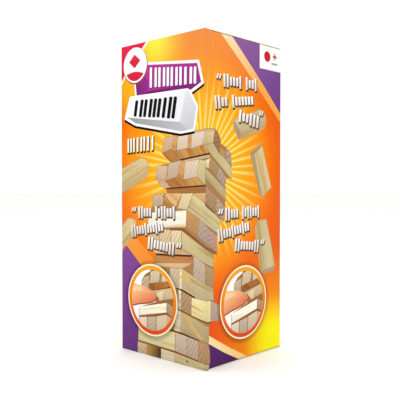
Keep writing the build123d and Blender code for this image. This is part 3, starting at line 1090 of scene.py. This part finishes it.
def outer_skin(mesh, points, triangles, place, wear_and_crease_shade):
    """The vertices of a panel's printed side, by point number."""
    wear_and_shade_layer = mesh.verts.layers.float.new("wear_and_crease_shade")
    skin = {}
    for tri, _ in triangles:
        for i in tri:
            if i not in skin:
                spot, _ = place(*points[i])
                skin[i] = mesh.verts.new(spot * MM)
                # each point's wear and painted crease shade
                skin[i][wear_and_shade_layer] = wear_and_crease_shade(*points[i])
    return skin


def print_skin(mesh, skin, points, triangles, shapes, layout, ground, shadowed):
    """The faces of the printed side, each with its shape's material, ink and grain."""
    ink_layer = mesh.loops.layers.float_color["ink"]
    grain_layer = mesh.loops.layers.float_vector["grain"]
    art_layer = mesh.loops.layers.float_vector["art"]
    for tri, owner in triangles:
        face = mesh.faces.new([skin[i] for i in tri])
        shape = shapes[owner] if owner >= 0 else None
        face.material_index = shape.material if shape else ground
        face.smooth = True
        middle = layout.art(*(sum((points[i] for i in tri), Vector((0, 0))) / 3))
        darkened = shadowed and not inside_inset(*middle)
        for loop, i in zip(face.loops, tri):
            u, v = layout.art(*points[i])
            loop[art_layer] = (u, v, drawn_shade(u, v) if darkened else 0.0)
            loop[ink_layer] = (*(shape.ink(u, v) if shape else (1, 1, 1)), 1)
            loop[grain_layer] = shape.grain(u, v) if shape else (0, 0, 0)


def inner_skin(mesh, points, triangles, place):
    """The bare side, a board's thickness in. Gives its vertices by point number."""
    skin = {}
    for tri, _ in triangles:
        for i in tri:
            if i not in skin:
                spot, out = place(*points[i])
                skin[i] = mesh.verts.new((spot - out * BOARD) * MM)
    for tri, _ in triangles:
        face = mesh.faces.new([skin[i] for i in reversed(tri)])
        face.material_index = INSIDE
        face.smooth = True
    return skin


def cut_edge(mesh, outer, inner):
    """Joins two rings of vertices with the board's cut edge. The inner ring holds None where it has none."""
    pairs = list(zip(outer, inner))
    for (a, under_a), (b, under_b) in zip(pairs, pairs[1:] + pairs[:1]):
        if under_a and under_b:
            face = mesh.faces.new((b, a, under_a, under_b))
            face.material_index = EDGE


def card(name, outline, place, shapes, lines=(), layout=Print(), wear_and_crease_shade=lambda u, v: 0.0, ground=SUNBURST):
    """A panel of board. place turns a point of the unfolded panel into where it is and which way is out."""
    window = bounds_of(outline)
    shown = shapes_on(window, shapes, layout)
    soft = [layout.panel(ring) for ring in SHADE_RINGS] if shapes else []
    soft = [ring + ring[:1] for ring in soft if overlaps(bounds_of(ring), window)]
    points, triangles = planar_map(outline, shown, list(lines) + soft)
    ring = boundary_loop(triangles)
    inner_points, inner_triangles = planar_map([points[i] for i in ring], [], lines)

    mesh = bmesh.new()
    mesh.loops.layers.float_color.new("ink")
    mesh.loops.layers.float_vector.new("grain")
    mesh.loops.layers.float_vector.new("art")
    outer = outer_skin(mesh, points, triangles, place, wear_and_crease_shade)
    print_skin(mesh, outer, points, triangles, shown, layout, ground, bool(shapes))
    inner = inner_skin(mesh, inner_points, inner_triangles, place)
    beneath = {nearest(inner_points[i]): vertex for i, vertex in inner.items()}
    cut_edge(mesh, [outer[i] for i in ring], [beneath.get(nearest(points[i])) for i in ring])
    bmesh.ops.recalc_face_normals(mesh, faces=mesh.faces)
    for edge in mesh.edges:
        kinds = {face.material_index for face in edge.link_faces}
        edge.smooth = not (EDGE in kinds or (INSIDE in kinds and len(kinds) > 1))
    data = bpy.data.meshes.new(name)
    mesh.to_mesh(data)
    mesh.free()
    made = add(name, data)
    for material in CARD:
        data.materials.append(material)
    return made


CREASE_STEPS = 4


class Wall:
    """A wall of the carton: its lower left outside corner, which way u runs, and which way it faces."""

    def __init__(self, corner, along, out, width):
        self.corner = Vector(corner)
        self.along = Vector(along)
        self.out = Vector(out)
        self.width = width

    def across(self, u):
        """Where u lies along the wall, how deep it has turned in, and the outward direction there. The
        upright creases are rounded, and the wall ends half way round each."""
        for near, sign in ((u, -1), (self.width - u, 1)):
            if near < CREASE:
                angle = (CREASE - near) / CREASE * math.pi / 4
                turned = CREASE * (1 - math.sin(angle))
                u = turned if sign < 0 else self.width - turned
                depth = CREASE * (1 - math.cos(angle))
                return u, depth, self.out * math.cos(angle) + self.along * sign * math.sin(angle)
        return u, 0.0, self.out

    def place(self, u, v):
        u, depth, out = self.across(u)
        return self.corner + self.along * u + Vector((0, 0, v)) - self.out * depth, out

    def lines(self, v0, v1):
        """Where the wall has to bend."""
        steps = [CREASE * k / CREASE_STEPS for k in range(1, CREASE_STEPS + 1)]
        return [[(u, v0), (u, v1)] for s in steps for u in (s, self.width - s)]

    def wear_and_crease_shade(self, u, v):
        """Wear and painted crease shade along the upright creases, most at their ridge."""
        near = min(u, self.width - u)
        return max(0.0, 1 - near / WEAR_AND_SHADE_REACH)


FRONT = Wall(wall_low, (1, 0, 0), (0, -1, 0), WIDTH)
RIGHT = Wall((wall_high.x, wall_low.y, 0), (0, 1, 0), (1, 0, 0), DEPTH)
BACK = Wall((wall_high.x, lid_high.y, 0), (-1, 0, 0), (0, 1, 0), WIDTH)
LEFT = Wall((wall_low.x, lid_high.y, 0), (0, -1, 0), (-1, 0, 0), DEPTH)


def wall_card(name, wall, outline, shapes, art_start):
    _, low, _, high = bounds_of(outline)
    made = card(name, outline, wall.place, shapes, wall.lines(low, high), Print(art_start), wall.wear_and_crease_shade)
    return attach(made, "carton")


class Fold:
    """A crease across a panel's end and the flat flap beyond it. s is the distance along the unfolded print
    from where the crease starts; u runs along the crease."""

    def __init__(self, start, along, travel, out, turn=math.pi / 2):
        self.start = Vector(start)
        self.along = Vector(along)
        self.travel = Vector(travel)
        self.out = Vector(out)
        self.turn = turn
        self.length = 2 * CREASE
        self.middle = self.start - self.out * CREASE

    def at(self, angle):
        out = self.out * math.cos(angle) + self.travel * math.sin(angle)
        return self.middle + out * CREASE, out

    def heading(self):
        """Which way the print runs after the crease."""
        return self.travel * math.cos(self.turn) - self.out * math.sin(self.turn)

    def place(self, u, s):
        if s <= self.length:
            spot, out = self.at(self.turn * max(s, 0) / self.length)
            return spot + self.along * u, out
        spot, out = self.at(self.turn)
        return spot + self.along * u + self.heading() * (s - self.length), out

    def end(self):
        return self.at(self.turn)[0]


FOLD_STEPS = 8
PLAIN = []  # the shapes on a flap without print


def crease_card(name, fold, u0, u1, bodies, shapes, layout):
    """The bent strip that joins two panels."""
    bends = [fold.length * k / FOLD_STEPS for k in range(1, FOLD_STEPS)]
    lines = [[(u0, s), (u1, s)] for s in bends]
    # the last function gives each point's wear and painted crease shade, most along the middle of the fold
    made = card(name, rectangle(u0, 0, u1, fold.length), fold.place, shapes, lines, layout,
                lambda u, s: max(0.0, 1 - abs(s - fold.length / 2) / CREASE))
    start, end = fold.start + fold.along * u0, fold.end() + fold.along * u0
    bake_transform(made)
    return made


def flap_outline(root0, root1, tip0, tip1, start, reach, radius):
    """A flap's outline: its root along the crease, and its rounded free end."""
    points = [(root0, start), (root1, start), (tip1, reach), (tip0, reach)]
    steps = 6
    per_corner = steps + 1
    return points[:2] + rounded(points, radius, steps)[2 * per_corner:]


def dust_flap_span(wall):
    """Where the dust flaps start and end along a side wall, and the end next to the back."""
    ends = sorted((spot - wall.corner).dot(wall.along) for spot in (flap_low, flap_high))
    return ends, max(ends) if wall.along.y > 0 else min(ends)


def side_outline(wall):
    """A side wall: it ends at the dust flaps' creases, and stands up square beside them."""
    (first, last), _ = dust_flap_span(wall)
    low, high = HEIGHT - FLAP_TOP, FLAP_TOP
    return [
        (0, low), (first, low), (first, low + CREASE), (last, low + CREASE), (last, low),
        (wall.width, low), (wall.width, high),
        (last, high), (last, high - CREASE), (first, high - CREASE), (first, high), (0, high),
    ]


def closure(end, art):
    """The lid, its tuck tab and the two dust flaps at one end of the carton, with their creases."""
    top = end == "top"
    sign = 1 if top else -1
    up = Vector((0, 0, sign))

    def level(z):
        return z if top else HEIGHT - z

    back = Fold((wall_high.x, lid_high.y, level(HEIGHT - CREASE)), (-1, 0, 0), up, (0, 1, 0))
    layout = Print(0, level(HEIGHT - CREASE), sign)
    crease_card(f"{end}_back_crease", back, 0, WIDTH, ("carton", f"{end}_lid"), art, layout)
    reach = back.length + back.end().y - LID_FRONT - CREASE
    lid = card(f"{end}_lid_card", rectangle(0, back.length, WIDTH, reach), back.place, art, (), layout)
    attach(lid, f"{end}_lid")
    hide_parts(f"{end}_lid")

    turn = math.pi / 2 + TAB_LEAN
    front = Fold((wall_high.x, LID_FRONT + CREASE, level(HEIGHT)), (-1, 0, 0), (0, -1, 0), up, turn)
    layout = Print(0, level(HEIGHT - CREASE) + sign * reach, sign)
    u0 = WIDTH / 2 - tab_high.x
    u1 = WIDTH - u0
    crease_card(f"{end}_front_crease", front, u0, u1, (f"{end}_lid", f"{end}_tuck_tab"), art, layout)
    reach = front.length + (front.end().z - level(tab_low.z)) * sign / math.cos(TAB_LEAN)
    outline = flap_outline(u0, u1, u0 + TAB_TAPER, u1 - TAB_TAPER, front.length, reach, TAB_RADIUS)
    tab = card(f"{end}_tab_card", outline, front.place, art, (), layout)
    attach(tab, f"{end}_tuck_tab")
    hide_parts(f"{end}_tuck_tab")

    for side, wall in (("right", RIGHT), ("left", LEFT)):
        fold = Fold(wall.corner + Vector((0, 0, level(FLAP_TOP - CREASE))), wall.along, up, wall.out)
        layout = Print(SIDE_START, level(FLAP_TOP - CREASE), sign)
        ends, near_back = dust_flap_span(wall)
        slant = math.copysign(FLAP_SLANT, wall.along.y)
        tips = [spot - slant if spot == near_back else spot for spot in ends]
        body = f"{end}_dust_flap_{side}"
        crease_card(f"{end}_{side}_crease", fold, *ends, ("carton", body), art, layout)
        reach = fold.length + flap_high.x - flap_low.x - CREASE
        outline = flap_outline(*ends, *tips, fold.length, reach, FLAP_RADIUS)
        flap = card(f"{body}_card", outline, fold.place, PLAIN, (), layout, ground=INSIDE)
        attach(flap, body)
        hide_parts(body)


def glue_flap():
    """The strip inside the left wall that closes the tube."""
    low, high = GLUE_END_GAP, HEIGHT - GLUE_END_GAP
    x = wall_low.x + BOARD

    def place(u, v):
        return Vector((x, lid_high.y - BOARD - u, v)), Vector((-1, 0, 0))
    outline = [(0, low), (GLUE_REACH, low + GLUE_MITRE), (GLUE_REACH, high - GLUE_MITRE), (0, high)]
    made = card("glue_flap", outline, place, PLAIN, ground=INSIDE)
    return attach(made, "carton")


def carton():
    """Four printed walls, the glue flap, and the closures at both ends."""
    art = artwork()
    front = wall_card("front_wall", FRONT, rectangle(0, 0, WIDTH, HEIGHT), art, 0)
    right = wall_card("right_wall", RIGHT, side_outline(RIGHT), art, SIDE_START)
    back = wall_card("back_wall", BACK, rectangle(0, CREASE, WIDTH, HEIGHT - CREASE), art, 0)
    left = wall_card("left_wall", LEFT, side_outline(LEFT), art, SIDE_START)
    flap = glue_flap()
    pieces = ((front, "front_panel"), (right, "right_panel"), (back, "back_panel"), (flap, "back_panel"),
              (left, "left_panel"))
    for piece, node in pieces:
        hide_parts(node)
    closure("top", art)
    closure("bottom", art)


def blocks():
    """The blocks keep their CAD shape and get real pine, its grain along each block."""
    across = pine_material("pine_across", True)
    through = pine_material("pine_front_to_back", False)
    for name, piece in frame["nodes"].items():
        if name.startswith("block_"):
            low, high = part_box(name)
            material = across if high.x - low.x > high.y - low.y else through
            piece.data.materials.clear()
            piece.data.materials.append(material)


# ---- Stage, lights and camera ----

CAMERA_AROUND = math.radians(42.3)  # the camera's bearing from the near edge
CAMERA_AWAY = 1.772  # its distance from that edge, in carton heights
CAMERA_UP = 0.544  # its height, in carton heights
CAMERA_TURN = math.radians(42.9)  # which way it looks
CAMERA_TILT = math.radians(-1.375)
LENS = 54.9
SENSOR = 36
NEAR_CLIP = 0.01

FLOOR_HALF = 6.0
FLOOR_DROP = 0.0001  # keeps the floor just clear of the carton's base

LIGHT_AWAY = 1.0  # from the carton's middle
LIGHT_SIZE = 0.7
LIGHTS = (  # name, degrees round from the front, degrees up, watts
    ("key", 40, 38, 1.8),
    ("left_fill", -50, 42, 0.9),
    ("right_fill", 135, 42, 0.9),
    ("back_fill", 225, 42, 1.6),
)
WORLD_LIGHT = 1.08
WORLD_IN_GLOSS = 0.3  # the world's strength in reflections


def camera():
    data = bpy.data.cameras.new("camera")
    data.lens = LENS
    data.sensor_width = SENSOR
    data.clip_start = NEAR_CLIP
    made = add("camera", data)
    tall = HEIGHT * MM
    near_edge = Vector((wall_high.x, wall_low.y, 0)) * MM
    away = Vector((math.sin(CAMERA_AROUND), -math.cos(CAMERA_AROUND), 0)) * CAMERA_AWAY * tall
    made.location = near_edge + away + Vector((0, 0, CAMERA_UP * tall))
    made.rotation_euler = (math.pi / 2 + CAMERA_TILT, 0, CAMERA_TURN)
    bpy.context.scene.camera = made


def floor():
    g = Graph("pale_floor")
    soft = g.noise(g.node("ShaderNodeTexCoord").outputs["Object"], 3.0, 2.0)
    g.finish(Base_Color=g.mix(soft, "f6f6f5", "fbfbfa"), Roughness=0.9, Specular_IOR_Level=0.1)
    data = bpy.data.meshes.new("floor")
    corners = rectangle(-FLOOR_HALF, -FLOOR_HALF, FLOOR_HALF, FLOOR_HALF)
    data.from_pydata([(x, y, 0) for x, y in corners], [], [(0, 1, 2, 3)])
    data.materials.append(g.material)
    made = add("floor", data)
    made.location.z = -FLOOR_DROP


def area_light(name, azimuth, elevation, power):
    """A soft square light, aimed at the carton's middle."""
    data = bpy.data.lights.new(name, "AREA")
    data.energy = power
    data.size = LIGHT_SIZE
    made = add(name, data)
    a, e = math.radians(azimuth), math.radians(elevation)
    back = Vector((math.sin(a) * math.cos(e), -math.cos(a) * math.cos(e), math.sin(e)))
    target = Vector((0, 0, HEIGHT / 2 * MM))
    made.location = target + back * LIGHT_AWAY
    made.rotation_euler = back.to_track_quat("Z", "Y").to_euler()


def lights():
    for light in LIGHTS:
        area_light(*light)
    world = bpy.data.worlds.new("studio")
    world.use_nodes = True
    tree = world.node_tree
    ground = tree.nodes["Background"]
    ground.inputs["Color"].default_value = (1, 1, 1, 1)
    path = tree.nodes.new("ShaderNodeLightPath")
    level = tree.nodes.new("ShaderNodeMapRange")
    level.inputs["To Min"].default_value = WORLD_LIGHT
    level.inputs["To Max"].default_value = WORLD_IN_GLOSS
    tree.links.new(path.outputs["Is Glossy Ray"], level.inputs["Value"])
    tree.links.new(level.outputs[0], ground.inputs["Strength"])
    bpy.context.scene.world = world
    bpy.context.scene.view_settings.view_transform = "Standard"


CARD = card_materials()
camera()
floor()
lights()
carton()
blocks()
